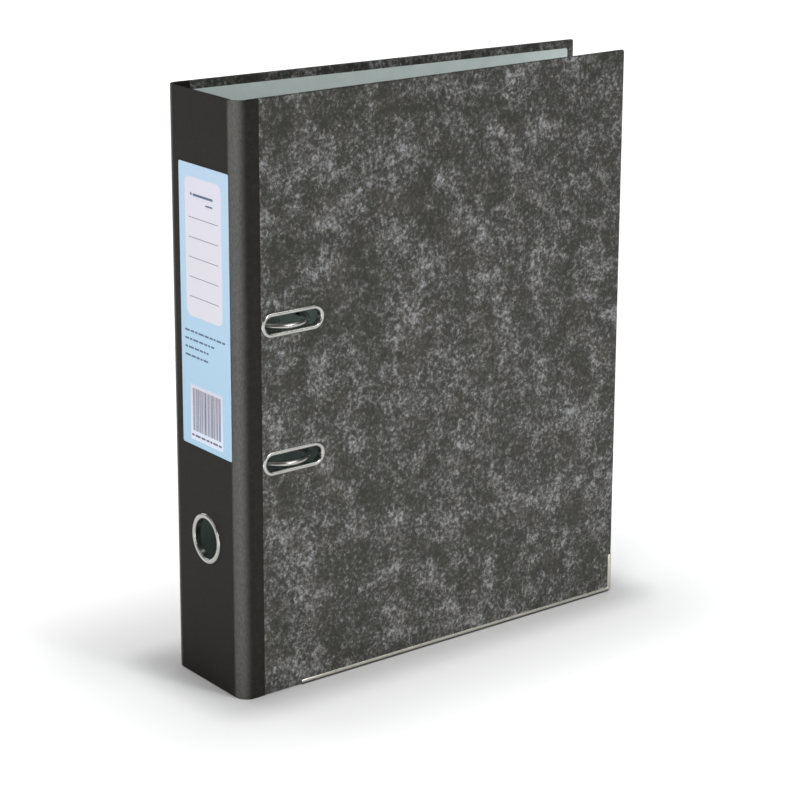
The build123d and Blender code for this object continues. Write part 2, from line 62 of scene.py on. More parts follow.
WIDTH = 290.0
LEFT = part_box("spine_wrap")[0].x / MM
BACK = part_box("back_cover_paper")[1].y / MM
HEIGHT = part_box("spine_wrap")[1].z / MM
DEPTH = 2 * BACK
LEAN = radians(4.5)
CORNER_R = 9.0
FRONT_TANGENT = CORNER_R * tan((pi / 2 + LEAN) / 2)
BACK_TANGENT = CORNER_R
COVER = 2.8
TURN_IN = 2.52  # the turned-in paper lies this deep, and the lining stands proud of it
CLOTH_LAP = 15.5
LINING_INSET = 5.0
SPINE_INSET = 4.0
RING_Z = 88.0
RING_HOLE_R = 11.75
SLOT_S = 37.5
SLOT_Z = (138.0, 218.0)
SLOT_OPENING = (39.2, 9.4)
HINGE_STEPS = 28  # stations round a hinge's arc; the strip on the cover follows them
LABEL_LOW, LABEL_HIGH = 141.0, 304.0

# Meshes ------------------------------------------------------------------------------------------


def on_panel(panel, s, n, z):
    """A point s along a panel from its corner, n inward from its outer face, z up."""
    if panel == "front":
        return (
            LEFT + s * cos(LEAN) - n * sin(LEAN),
            -BACK + s * sin(LEAN) + n * cos(LEAN),
            z,
        )
    if panel == "back":
        return (LEFT + s, BACK - n, z)
    return (LEFT + n, -BACK + s, z)


def skin(rings, loop=False):
    """Joins rings of points, each with as many, into a closed mesh: a loop, or a tube with caps."""
    count = len(rings[0])
    points = [p for ring in rings for p in ring]
    faces = []
    for i in range(len(rings) if loop else len(rings) - 1):
        a, b = i * count, (i + 1) % len(rings) * count
        for k in range(count):
            m = (k + 1) % count
            faces.append((a + k, a + m, b + m, b + k))
    if not loop:
        faces.append(tuple(range(count)))
        faces.append(tuple(len(points) - count + k for k in range(count)))
    return points, faces


def shade(mesh, sharp=35.0):
    """Smooth faces, with sharp edges where they turn by more than that many degrees."""
    bm = bmesh.new()
    bm.from_mesh(mesh)
    bmesh.ops.recalc_face_normals(bm, faces=bm.faces)
    for face in bm.faces:
        face.smooth = True
    for edge in bm.edges:
        if len(edge.link_faces) == 2:
            edge.smooth = edge.calc_face_angle() < radians(sharp)
    bm.to_mesh(mesh)
    bm.free()


def piece(name, shape, material, sharp=35.0):
    points, faces = shape
    mesh = bpy.data.meshes.new(name)
    mesh.from_pydata([Vector(p) * MM for p in points], [], faces)
    shade(mesh, sharp)
    obj = bpy.data.objects.new(name, mesh)
    bpy.context.scene.collection.objects.link(obj)
    if material:
        mesh.materials.append(material)
    return obj


def even_normals(obj):
    """Keeps wide flat faces flat beside their small rounded edges."""
    modifier = obj.modifiers.new("even_normals", "WEIGHTED_NORMAL")
    modifier.keep_sharp = True
    return obj


def carve(obj, *cutters):
    """Subtracts the cutters, which are then deleted."""
    for cutter in cutters:
        modifier = obj.modifiers.new("cut", "BOOLEAN")
        modifier.operation = "DIFFERENCE"
        modifier.solver = "EXACT"
        modifier.object = cutter
    bpy.context.view_layer.update()
    shown = obj.evaluated_get(bpy.context.evaluated_depsgraph_get())
    mesh = bpy.data.meshes.new_from_object(shown)
    obj.modifiers.clear()
    obj.data = mesh
    for cutter in cutters:
        bpy.data.objects.remove(cutter)
    shade(mesh)
    return obj


def block(panel, s, n, z):
    """A cutter: a plain box on a panel."""
    rings = [
        [on_panel(panel, s[i], n[j], depth) for i, j in ((0, 0), (1, 0), (1, 1), (0, 1))]
        for depth in z
    ]
    return piece("cutter", skin(rings), None)


def quarter(steps):
    return [pi / 2 * k / steps for k in range(steps + 1)]


def rounded_edge(n0, n1, r, steps=4):
    """(inset, depth) pairs round a sheet's edge, from its face at n0 to its face at n1."""
    toward = 1 if n1 > n0 else -1
    first = [(r - r * sin(a), n0 + toward * (r - r * cos(a))) for a in quarter(steps)]
    last = [(r - r * cos(a), n1 - toward * (r - r * sin(a))) for a in quarter(steps)]
    return first + last


def oblong(grow, steps=24):
    """Outline of a slot's opening grown all round, as (s, z) from its middle."""
    half = (SLOT_OPENING[0] - SLOT_OPENING[1]) / 2
    r = SLOT_OPENING[1] / 2 + grow
    right = [(half + r * sin(pi * k / steps), -r * cos(pi * k / steps)) for k in range(steps + 1)]
    return right + [(-s, -z) for s, z in right]


def circle(grow, steps=96):
    r = RING_HOLE_R + grow
    return [(r * cos(2 * pi * k / steps), r * sin(2 * pi * k / steps)) for k in range(steps)]


def rounded_rectangle(width, height, r, inset=0.0, steps=6):
    """Outline about its middle, with corners of radius r before the inset."""
    half_w, half_h, q = width / 2 - r, height / 2 - r, r - inset
    points = []
    for k, (x, y) in enumerate(((1, 1), (-1, 1), (-1, -1), (1, -1))):
        for a in quarter(steps):
            turn = a + k * pi / 2
            points.append((x * half_w + q * cos(turn), y * half_h + q * sin(turn)))
    return points


def placed(outline, panel, s, z, n):
    """An outline's points on a panel, about (s, z), at depth n."""
    return [on_panel(panel, s + a, n, z + b) for a, b in outline]


def through_cutter(outline, panel, s, z):
    return piece("cutter", skin([placed(outline, panel, s, z, n) for n in (-2, COVER + 2)]), None)


# Covers: marbled paper folded over three edges of the board --------------------------------------

EDGE_R = 0.8
TOP_CORNER_R = 1.2
RAIL_CORNER_R = 3.2
RAIL_T = 0.4


def cover_outline(inset, s0, top_r=TOP_CORNER_R, low_r=RAIL_CORNER_R, low=RAIL_T):
    """Three edges of a cover: along the bottom, up the fore-edge and back along the top."""
    s1, z0, z1 = WIDTH - inset, low + inset, HEIGHT - inset
    b, t = low_r - inset, top_r - inset
    bottom = [(s1 - b + b * sin(a), z0 + b - b * cos(a)) for a in quarter(8)]
    top = [(s1 - t + t * cos(a), z1 - t + t * sin(a)) for a in quarter(5)]
    return [(s0, z0), *bottom, *top, (s0, z1)]


def cover_paper(panel, material):
    rings = [
        [on_panel(panel, s, n, z) for s, z in cover_outline(inset, CLOTH_LAP)]
        for inset, n in rounded_edge(0, TURN_IN, EDGE_R)
    ]
    paper = piece(f"{panel}_marbled_paper", skin(rings), material)
    inner = (LINING_INSET, HEIGHT - LINING_INSET)
    cutters = [
        block(panel, (10, WIDTH - 0.4), (0.4, 2.4), (0.8, HEIGHT - 0.4)),
        block(panel, (10, WIDTH - LINING_INSET), (2.2, COVER), inner),
    ]
    if panel == "front":
        cutters += [through_cutter(oblong(0.45), panel, SLOT_S, z) for z in SLOT_Z]
    carve(paper, *cutters)
    even_normals(paper)
    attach(paper, f"{panel}_cover")
    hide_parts(f"{panel}_cover_paper")
    return paper


LINING_R = 0.12


def cover_lining(panel, material):
    rings = []
    for inset, n in rounded_edge(COVER, 2.4, LINING_R, 2):
        q = LINING_INSET + inset
        outline = cover_outline(q, HINGE_SEAM, q + 1.5, q + 1.5, 0.0)
        rings.append([on_panel(panel, s, n, z) for s, z in outline])
    lining = piece(f"{panel}_cover_lining", skin(rings), material)
    if panel == "front":
        carve(lining, *[through_cutter(oblong(0.45), panel, SLOT_S, z) for z in SLOT_Z])
    even_normals(lining)
    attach(lining, f"{panel}_cover")
    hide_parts(f"{panel}_lining")
    return lining


# Spine cloth and the two hinges ------------------------------------------------------------------

HINGE_SEAM = 12.0  # the rigid lining starts here, and the bending one ends
THIN = 0.75  # the cloth's depth where nothing but cloth and lining makes the hinge
LINING_T = COVER - TURN_IN
SUNK = 0.15  # the cloth lies this much under the paper that laps it


def sheet_section(n0, n1, z0, z1, r, steps=4):
    """Closed section (depth, z) of an upright sheet with rounded top and bottom edges."""
    edge = rounded_edge(n0, n1, r, steps)
    return [(n, z0 + inset) for inset, n in edge] + [(n, z1 - inset) for inset, n in reversed(edge)]


def smooth(t):
    t = min(1.0, max(0.0, t))
    return t * t * (3 - 2 * t)


def hinge_stations(panel):
    """Along a hinge from the spine to the cover: (outer point, inward direction, share of the
    full board depth, sunk). The corner's arc comes first and then the strip on the cover."""
    turn = pi / 2 + LEAN if panel == "front" else pi / 2
    tangent = FRONT_TANGENT if panel == "front" else BACK_TANGENT
    side = 1 if panel == "front" else -1
    centre = Vector((LEFT + CORNER_R, side * (-BACK + tangent), 0))
    stations = []
    for k in range(HINGE_STEPS + 1):
        angle = turn * k / HINGE_STEPS
        outward = Vector((-cos(angle), -side * sin(angle), 0))
        share = k / HINGE_STEPS
        full = 1 - smooth(share / 0.3) * smooth((1 - share) / 0.3)
        stations.append((centre + outward * CORNER_R, -outward, full, 0.0))
    inward = stations[-1][1]
    for s in (10.6, 11.6, HINGE_SEAM, 13.2, 14.4, CLOTH_LAP):
        outer = Vector(on_panel(panel, s, 0, 0))
        stations.append((outer, inward, 1.0, SUNK * smooth((s - 10) / 3)))
    return stations


def hinge_strip(name, panel, section, material, last=None):
    """A sheet swept round a hinge. section(full, sunk, share) gives its (depth, z) loop."""
    rings = []
    stations = hinge_stations(panel)[:last]
    for k, (outer, inward, full, sunk) in enumerate(stations):
        loop = section(full, sunk, min(1.0, k / HINGE_STEPS))
        rings.append([outer + inward * n + Vector((0, 0, z)) for n, z in loop])
    strip = piece(name, skin(rings), material)
    # These vertex colours mask a painted highlight on the hinge: nil at the spine, strongest in the
    # arc's first half, and gone before the arc meets the cover.
    painted_highlight = strip.data.color_attributes.new("painted_highlight", "FLOAT_COLOR", "POINT")
    for i in range(len(strip.data.vertices)):
        share = min(1.0, i // len(rings[0]) / HINGE_STEPS)
        wear_and_painted_highlight = smooth(share / 0.16) * smooth((0.85 - share) / 0.45)
        painted_highlight.data[i].color = (wear_and_painted_highlight, wear_and_painted_highlight, wear_and_painted_highlight, 1)
    even_normals(strip)
    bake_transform(strip)
    return strip


def hinge_cloth(panel, material):
    def section(full, sunk, share):
        depth = THIN + (TURN_IN - THIN) * full
        return sheet_section(sunk, depth, 0.02, HEIGHT, min(EDGE_R, depth * 0.45))

    strip = hinge_strip(f"{panel}_hinge_wrap", panel, section, material)
    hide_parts(f"{panel}_hinge_cloth")
    return strip


def hinge_lining(panel, material):
    def section(full, sunk, share):
        depth = THIN + (TURN_IN - THIN) * full
        inset = SPINE_INSET + (LINING_INSET - SPINE_INSET) * smooth(share)
        return sheet_section(depth, depth + LINING_T, inset, HEIGHT - inset, LINING_R, 2)

    strip = hinge_strip(f"{panel}_hinge_lining", panel, section, material, last=HINGE_STEPS + 4)
    return strip


def spine_cloth(material):
    rings = [
        [on_panel("spine", s, n, z) for n, z in sheet_section(0, TURN_IN, 0.02, HEIGHT, EDGE_R)]
        for s in (FRONT_TANGENT, DEPTH - BACK_TANGENT)
    ]
    cloth = piece("spine_cloth_wrap", skin(rings), material)
    inner = (SPINE_INSET, HEIGHT - SPINE_INSET)
    carve(
        cloth,
        block("spine", (0, DEPTH), (0.4, 2.4), (0.4, HEIGHT - 0.4)),
        block("spine", (0, DEPTH), (2.2, COVER), inner),
        through_cutter(circle(0.55), "spine", DEPTH / 2, RING_Z),
    )
    even_normals(cloth)
    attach(cloth, "spine")
    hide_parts("spine_wrap")
    return cloth


def spine_lining(material):
    z0, z1 = SPINE_INSET, HEIGHT - SPINE_INSET
    loop = sheet_section(COVER, 2.4, z0, z1, LINING_R, 2)
    rings = [
        [on_panel("spine", s, n, z) for n, z in loop]
        for s in (FRONT_TANGENT, DEPTH - BACK_TANGENT)
    ]
    lining = piece("spine_inner_lining", skin(rings), material)
    carve(lining, through_cutter(circle(0.55), "spine", DEPTH / 2, RING_Z))
    even_normals(lining)
    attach(lining, "spine")
    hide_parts("spine_lining")
    return lining


# Rolled metal: finger ring, slot eyelets, washers and edge rails ---------------------------------

EYELET_DEPTH = 3.7


def rolled_profile(rim, height, clench, wall=0.45, steps=14):
    """(grow, depth) loop: a domed rim outside, a tube through the board, clenched inside."""
    dome = []
    for k in range(steps + 1):
        a = pi * k / steps
        dome.append((rim / 2 + rim / 2 * cos(a), -height * sin(a) ** 0.8))
    tube = [(0.0, 0.6), (0.0, EYELET_DEPTH - 0.9)]
    lip = [
        (0.08, EYELET_DEPTH - 0.45),
        (0.35, EYELET_DEPTH - 0.1),
        (0.75, EYELET_DEPTH),
        (clench - 0.15, EYELET_DEPTH - 0.04),
        (clench, EYELET_DEPTH - 0.2),
        (clench - 0.1, EYELET_DEPTH - 0.38),
    ]
    return dome + tube + lip + [(wall, EYELET_DEPTH - 0.4), (wall, 0.02), (rim - 0.25, 0.02)]


def ring_piece(name, profile, outline, panel, s, z, material, body, node):
    rings = [placed(outline(grow), panel, s, z, n) for grow, n in profile]
    ring = piece(name, skin(rings, loop=True), material, sharp=50)
    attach(ring, body)
    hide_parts(node)
    return ring


def washer_profile(hole, rim):
    n0, n1, r = COVER, COVER + 0.5, 0.12
    return [
        (hole, n0),
        (hole, n1 - r),
        (hole + r, n1),
        (rim - r, n1),
        (rim, n1 - r),
        (rim, n0),
    ]


RAIL_SECTION = (
    (-2.72, -0.06),
    (-2.66, -0.17),
    (-2.45, -0.27),
    (-2.0, -0.35),
    (-1.3, -0.40),
    (-0.6, -0.37),
    (-0.1, -0.26),
    (0.22, -0.04),
    (0.37, 0.28),
    (0.40, 0.7),
    (0.40, 2.0),
    (0.35, 2.5),
    (0.15, 2.82),
    (-0.3, 2.96),
    (-1.3, 3.0),
    (-2.3, 2.92),
    (-2.66, 2.84),
)


def thicken(line, t):
    """A closed loop: a polyline of (out, depth) and its parallel, t to the panel's side."""
    inner = []
    for k, point in enumerate(line):
        before, after = line[max(0, k - 1)], line[min(len(line) - 1, k + 1)]
        along = Vector((after[0] - before[0], after[1] - before[1])).normalized()
        inner.append((point[0] - along.y * t, point[1] + along.x * t))
    return list(line) + inner[::-1]


def edge_rail(panel, material):
    """A channel swept under the lower edge and up the fore-edge, closed down at both ends."""
    section = thicken(RAIL_SECTION, 0.3)
    corner = Vector((WIDTH - RAIL_CORNER_R, RAIL_T + RAIL_CORNER_R))
    path = [(Vector((s, RAIL_T)), Vector((0, -1))) for s in (42.0, 43.0, 60.0, 160.0, 280.0)]
    for a in quarter(12):
        out = Vector((sin(a), -cos(a)))
        path.append((corner + out * RAIL_CORNER_R, out))
    path += [(Vector((WIDTH, z)), Vector((1, 0))) for z in (8.0, 16.0, 24.2, 25.0)]
    rings = []
    for k, (point, out) in enumerate(path):
        tip = k in (0, len(path) - 1)
        ring = []
        for o, n in section:
            if tip:
                o, n = o * 0.82 - 0.1, (n - TURN_IN / 2) * 0.93 + TURN_IN / 2
            place = point + out * o
            ring.append(on_panel(panel, place.x, n, place.y))
        rings.append(ring)
    rail = piece(f"{panel}_rail", skin(rings), material, sharp=40)
    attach(rail, f"{panel}_cover")
    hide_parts(f"{panel}_edge_rail")
    return rail


# Spine label and its plain print -----------------------------------------------------------------

LABEL = (52.0, 163.0)
LABEL_S = DEPTH / 2 - 3
LABEL_TOP = -0.2
INK = -0.225


def label_card(material):
    rings = [
        placed(
            rounded_rectangle(*LABEL, 1.2, inset), "spine", LABEL_S, LABEL_LOW + LABEL[1] / 2, n
        )
        for inset, n in rounded_edge(0.01, LABEL_TOP, 0.07, 2)
    ]
    card = piece("spine_label_card", skin(rings), material)
    even_normals(card)
    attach(card, "spine")
    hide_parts("spine_label")
    return card


def printed(name, shapes, material, top=INK):
    """Thin flat shapes on the label, each (left, right, low, high, corner radius); left and
    right are distances from the label's left edge as it is read."""
    points, faces = [], []
    left_edge = LABEL_S + LABEL[0] / 2
    for a, b, low, high, r in shapes:
        outline = rounded_rectangle(b - a, high - low, r, steps=4 if r > 1 else 2)
        middle = left_edge - (a + b) / 2
        rings = [placed(outline, "spine", middle, (low + high) / 2, n) for n in (-0.15, top)]
        new_points, new_faces = skin(rings)
        start = len(points)
        points += new_points
        faces += [tuple(start + i for i in face) for face in new_faces]
    print_piece = piece(name, (points, faces), material)
    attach(print_piece, "spine")
    return print_piece


def bar_pattern():
    """Plain bars of uneven widths that stand for a barcode and say nothing."""
    shapes, x, k = [], 11.2, 0
    while x < 40.5:
        wide = 0.35 + 0.4 * ((k * 7) % 3 == 1) + 0.45 * ((k * 5) % 7 == 2)
        gap = 0.4 + 0.35 * ((k * 3) % 4 == 2)
        shapes.append((x, x + wide, 150.0, 175.0, 0.05))
        x, k = x + wide + gap, k + 1
    return shapes


def word_marks(x0, x1, z, height, seed):
    """A row of short plain marks of uneven length, in place of words."""
    shapes, x, k = [], x0, seed
    while x < x1:
        length = min(2.2 + 1.7 * (k * 5 % 7) / 3, x1 - x)
        if length > 0.8:
            shapes.append((x, x + length, z, z + height, height * 0.3))
        x, k = x + length + 0.9, k + 1
    return shapes


# Procedural materials ----------------------------------------------------------------------------


def new_material(name):
    material = bpy.data.materials.new(name)
    material.use_nodes = True
    return material


def node(material, kind, settings=(), **inputs):
    made = material.node_tree.nodes.new("ShaderNode" + kind)
    for key, value in settings:
        setattr(made, key, value)
    for key, value in inputs.items():
        socket = made.inputs[key.replace("_", " ")]
        if isinstance(value, bpy.types.NodeSocket):
            material.node_tree.links.new(value, socket)
        else:
            socket.default_value = value
    return made


def coordinates(material, scale=(1, 1, 1)):
    """Millimetres in the piece's own frame, stretched by scale."""
    place = node(material, "TexCoord").outputs["Object"]
    size = tuple(1000.0 * k for k in scale)
    return node(material, "Mapping", Vector=place, Scale=size).outputs["Vector"]


def noise(material, vector, scale, detail=3.0, roughness=0.55, distortion=0.0):
    return node(
        material,
        "TexNoise",
        Vector=vector,
        Scale=scale,
        Detail=detail,
        Roughness=roughness,
        Distortion=distortion,
    ).outputs["Fac"]


def maths(material, operation, a, b=0.0):
    made = node(material, "Math", (("operation", operation),))
    for socket, value in zip(made.inputs, (a, b)):
        if isinstance(value, bpy.types.NodeSocket):
            material.node_tree.links.new(value, socket)
        else:
            socket.default_value = value
    return made.outputs[0]


def span(material, value, low, high, to_low=0.0, to_high=1.0):
    made = node(
        material,
        "MapRange",
        (("clamp", True), ("interpolation_type", "SMOOTHSTEP")),
        Value=value,
        From_Min=low,
        From_Max=high,
        To_Min=to_low,
        To_Max=to_high,
    )
    return made.outputs["Result"]


def ramp(material, value, stops):
    made = node(material, "ValToRGB", Fac=value)
    elements = made.color_ramp.elements
    while len(elements) < len(stops):
        elements.new(0.5)
    for element, (position, color) in zip(elements, stops):
        element.position, element.color = position, (*color, 1)
    return made.outputs["Color"]


def blended(material, factor, a, b):
    made = node(material, "Mix", (("data_type", "RGBA"),))
    for index, value in ((0, factor), (6, a), (7, b)):
        if isinstance(value, bpy.types.NodeSocket):
            material.node_tree.links.new(value, made.inputs[index])
        else:
            made.inputs[index].default_value = value if index == 0 else (*value, 1)
    return made.outputs[2]


def bump(material, height, strength, distance):
    return node(
        material, "Bump", Strength=strength, Distance=distance * MM, Height=height
    ).outputs["Normal"]


def set_surface(material, **inputs):
    shader = material.node_tree.nodes["Principled BSDF"]
    for key, value in inputs.items():
        socket = shader.inputs[key.replace("_", " ")]
        if isinstance(value, bpy.types.NodeSocket):
            material.node_tree.links.new(value, socket)
        else:
            socket.default_value = value
    return material


def cloud_paper():
    m = new_material("cloud_paper")
    at = coordinates(m)
    clouds = noise(m, at, 0.045, 2.5, 0.55, 0.4)
    patches = noise(m, at, 0.17, 3.0, 0.6, 0.8)
    flecks = noise(m, at, 0.47, 4.0, 0.64, 0.3)
    fibres = noise(m, coordinates(m, (1, 1, 0.6)), 1.2, 3.0, 0.66, 0.5)
    density = maths(m, "MULTIPLY", clouds, 0.34)
    density = maths(m, "ADD", density, maths(m, "MULTIPLY", patches, 0.38))
    density = maths(m, "ADD", density, maths(m, "MULTIPLY", flecks, 0.58))
    density = maths(m, "ADD", density, maths(m, "MULTIPLY", fibres, 0.22))
    amount = span(m, density, 0.63, 0.97)
    color = ramp(
        m,
        amount,
        (
            (0.0, (0.024, 0.024, 0.020)),
            (0.35, (0.049, 0.049, 0.044)),
            (0.7, (0.124, 0.124, 0.121)),
            (1.0, (0.255, 0.260, 0.275)),
        ),
    )
    warm = span(m, noise(m, at, 0.05, 2.0), 0.55, 0.75)
    color = blended(m, maths(m, "MULTIPLY", warm, 0.25), color, (0.076, 0.059, 0.051))
    grain = noise(m, at, 5.0, 2.0, 0.6)
    rough = span(m, flecks, 0.3, 0.7, 0.62, 0.5)
    return set_surface(
        m,
        Base_Color=color,
        Roughness=rough,
        Normal=bump(m, grain, 0.25, 0.06),
        Specular_IOR_Level=0.2,
    )


def spine_paper(name="spine_cloth", painted_highlight=False):
    m = new_material(name)
    upright = noise(m, coordinates(m, (1, 1, 0.06)), 2.4, 2.0, 0.6)
    across = noise(m, coordinates(m, (0.08, 0.08, 1)), 2.2, 2.0, 0.6)
    weave = maths(m, "ADD", maths(m, "MULTIPLY", upright, 0.5), maths(m, "MULTIPLY", across, 0.5))
    mottle = noise(m, coordinates(m), 0.35, 4.0, 0.65)
    shade_of = maths(m, "ADD", maths(m, "MULTIPLY", weave, 0.5), maths(m, "MULTIPLY", mottle, 0.5))
    color = ramp(
        m,
        span(m, shade_of, 0.32, 0.68),
        ((0.0, (0.012, 0.011, 0.010)), (0.5, (0.015, 0.014, 0.012)), (1.0, (0.021, 0.020, 0.018))),
    )
    # On the hinge cloth a paler colour, laid along the arc by the hinge strip's vertex-colour mask
    # and broken up by specks, is a painted highlight.
    if painted_highlight:
        wear_and_painted_highlight = node(m, "VertexColor", (("layer_name", "painted_highlight"),)).outputs["Color"]
        specks = noise(m, coordinates(m, (1, 1, 0.4)), 1.1, 3.0, 0.7)
        wear_and_painted_highlight = maths(m, "MULTIPLY", wear_and_painted_highlight, span(m, specks, 0.25, 0.7, 0.55, 1.0))
        color = blended(m, wear_and_painted_highlight, color, (0.108, 0.108, 0.102))
    rough = span(m, mottle, 0.3, 0.7, 0.44, 0.52)
    return set_surface(
        m,
        Base_Color=color,
        Roughness=rough,
        Normal=bump(m, weave, 0.35, 0.08),
        Specular_IOR_Level=0.06,
    )


def lining():
    m = new_material("lining_paper")
    at = coordinates(m)
    cloudy = noise(m, at, 0.06, 3.0, 0.6)
    pulp = noise(m, coordinates(m, (1, 1, 0.4)), 1.4, 3.0, 0.7, 0.8)
    color = ramp(
        m,
        maths(m, "ADD", maths(m, "MULTIPLY", cloudy, 0.6), maths(m, "MULTIPLY", pulp, 0.4)),
        ((0.3, (0.53, 0.61, 0.59)), (0.7, (0.63, 0.71, 0.69))),
    )
    return set_surface(
        m,
        Base_Color=color,
        Roughness=span(m, pulp, 0.3, 0.7, 0.72, 0.86),
        Normal=bump(m, pulp, 0.2, 0.05),
        Specular_IOR_Level=0.25,
    )


def label_stock(name, low, high, top_z=LABEL_HIGH, low_z=LABEL_LOW):
    """Coated paper whose tint runs up the label."""
    m = new_material(name)
    at = coordinates(m)
    height = node(m, "SeparateXYZ", Vector=at).outputs["Z"]
    tint = span(m, height, low_z, top_z)
    fibre = noise(m, at, 1.2, 2.0, 0.6)
    base = ramp(m, tint, ((0.0, low), (1.0, high)))
    color = blended(m, maths(m, "MULTIPLY", fibre, 0.06), base, (1, 1, 1))
    return set_surface(
        m,
        Base_Color=color,
        Roughness=span(m, fibre, 0.3, 0.7, 0.34, 0.42),
        Normal=bump(m, fibre, 0.08, 0.02),
        Specular_IOR_Level=0.5,
    )


def ink(name, color, pale):
    m = new_material(name)
    wear_and_painted_highlight = noise(m, coordinates(m), 2.5, 3.0, 0.7)
    shade_of = blended(m, span(m, wear_and_painted_highlight, 0.45, 0.75, 0.0, 0.35), color, pale)
    return set_surface(m, Base_Color=shade_of, Roughness=span(m, wear_and_painted_highlight, 0.3, 0.7, 0.4, 0.55))


def plated(name, color, rough, brushed=None, painted_shade_below=None):
    """Bright plating over sheet or wire, with fine scratches, and painted shade below a height if
    one is given.
    """
    m = new_material(name)
    at = coordinates(m)
    haze = noise(m, at, 0.12, 3.0, 0.6)
    stretch = brushed or (1, 1, 1)
    scratch = noise(m, coordinates(m, stretch), 3.0, 4.0, 0.7)
    tone = ramp(
        m,
        haze,
        ((0.3, tuple(c * 0.9 for c in color)), (0.7, tuple(min(1, c * 1.06) for c in color))),
    )
    # Below that height the plating is darkened: painted shade on the face that turns under.
    if painted_shade_below:
        height = node(m, "SeparateXYZ", Vector=at).outputs["Z"]
        painted_shade = span(m, height, painted_shade_below - 0.3, painted_shade_below + 0.3, 1.0, 0.0)
        tone = blended(m, painted_shade, tone, (0.10, 0.10, 0.095))
    return set_surface(
        m,
        Base_Color=tone,
        Metallic=1.0,
        Roughness=span(m, scratch, 0.3, 0.7, rough * 0.8, rough * 1.35),
        Normal=bump(m, scratch, 0.12 if brushed else 0.05, 0.02),
    )


def board():
    m = new_material("greyboard")
    pulp = noise(m, coordinates(m), 1.1, 4.0, 0.7)
    color = ramp(m, pulp, ((0.3, (0.22, 0.20, 0.17)), (0.7, (0.32, 0.30, 0.26))))
    return set_surface(m, Base_Color=color, Roughness=0.9, Normal=bump(m, pulp, 0.4, 0.1))


def moulded(name, color, rough):
    m = new_material(name)
    cloudy = noise(m, coordinates(m), 0.4, 3.0, 0.6)
    spark = noise(m, coordinates(m), 7.0, 2.0, 0.6)
    tone = ramp(
        m, cloudy, ((0.3, tuple(c * 0.92 for c in color)), (0.7, tuple(c * 1.08 for c in color)))
    )
    return set_surface(
        m,
        Base_Color=tone,
        Roughness=span(m, cloudy, 0.3, 0.7, rough * 0.85, rough * 1.15),
        Normal=bump(m, spark, 0.1, 0.03),
    )


CLOUD = cloud_paper()
CLOTH = spine_paper()
# The hinge cloth carries a painted highlight along its arc.
HINGE_CLOTH = spine_paper("hinge_cloth", painted_highlight=True)
LINING = lining()
LABEL_BLUE = label_stock("label_blue", (0.31, 0.51, 0.67), (0.37, 0.52, 0.67))
LABEL_WHITE = label_stock("label_white", (0.60, 0.59, 0.65), (0.59, 0.58, 0.67), 297.0, 217.0)
LABEL_LILAC = label_stock("label_lilac", (0.60, 0.66, 0.80), (0.55, 0.55, 0.66), 178.0, 144.0)
INK_GREY = ink("ink_grey", (0.16, 0.16, 0.19), (0.34, 0.34, 0.40))
INK_BLUE = ink("ink_blue", (0.05, 0.09, 0.17), (0.18, 0.26, 0.38))
INK_BAR = ink("ink_bar", (0.09, 0.08, 0.12), (0.20, 0.19, 0.26))
NICKEL = plated("nickel", (0.38, 0.38, 0.36), 0.19)
# The rail's lowest 1.5 mm, where it rounds under the cover's edge, gets painted shade.
RAIL = plated("rail_nickel", (0.52, 0.50, 0.44), 0.26, painted_shade_below=1.5)
SHEET = plated("steel_sheet", (0.66, 0.66, 0.65), 0.26, (1, 1, 0.05))
SPRING = plated("spring_steel", (0.40, 0.40, 0.41), 0.3)
BOARD = board()
ROLLER = moulded("roller_plastic", (0.78, 0.77, 0.73), 0.35)
CLIP = moulded("clip_plastic", (0.03, 0.03, 0.032), 0.5)

# CAD nodes that stay take these finishes ---------------------------------------------------------

FINISH = {
    "nickel": NICKEL,
    "steel_sheet": SHEET,
    "spring_steel": SPRING,
    "greyboard": BOARD,
    "roller_plastic": ROLLER,
    "clip_plastic": CLIP,
    "cloud_paper": CLOUD,
    "spine_cloth": CLOTH,
    "lining_paper": LINING,
    "label_paper": LABEL_BLUE,
}
for part in frame["record"]["subparts"]:
    for material_slot in frame["nodes"][part["node"]].material_slots:
        material_slot.material = FINISH[part["material_slot"]]

# The case ----------------------------------------------------------------------------------------

for side in ("front", "back"):
    cover_paper(side, CLOUD)
    cover_lining(side, LINING)
    hinge_cloth(side, HINGE_CLOTH)
    hinge_lining(side, LINING)
    edge_rail(side, RAIL)
spine_cloth(CLOTH)
spine_lining(LINING)

ring_piece(
    "finger_ring_rolled",
    rolled_profile(3.05, 0.9, 1.4),
    circle,
    "spine",
    DEPTH / 2,
    RING_Z,
    NICKEL,
    "spine",
    "finger_ring",
)
ring_piece(
    "finger_ring_back_washer",
    washer_profile(0.55, 2.75),
    circle,
    "spine",
    DEPTH / 2,
    RING_Z,
    NICKEL,
    "spine",
    "finger_ring_washer",
)
for level, height in zip(("lower", "upper"), SLOT_Z):
    ring_piece(
        f"{level}_slot_rim",
        rolled_profile(2.35, 0.8, 1.3, 0.4),
        oblong,
        "front",
        SLOT_S,
        height,
        NICKEL,
        "front_cover",
        f"{level}_slot_eyelet",
    )
    ring_piece(
        f"{level}_slot_back_washer",
        washer_profile(0.45, 1.9),
        oblong,
        "front",
        SLOT_S,
        height,
        NICKEL,
        "front_cover",
        f"{level}_slot_washer",
    )

# The label ---------------------------------------------------------------------------------------

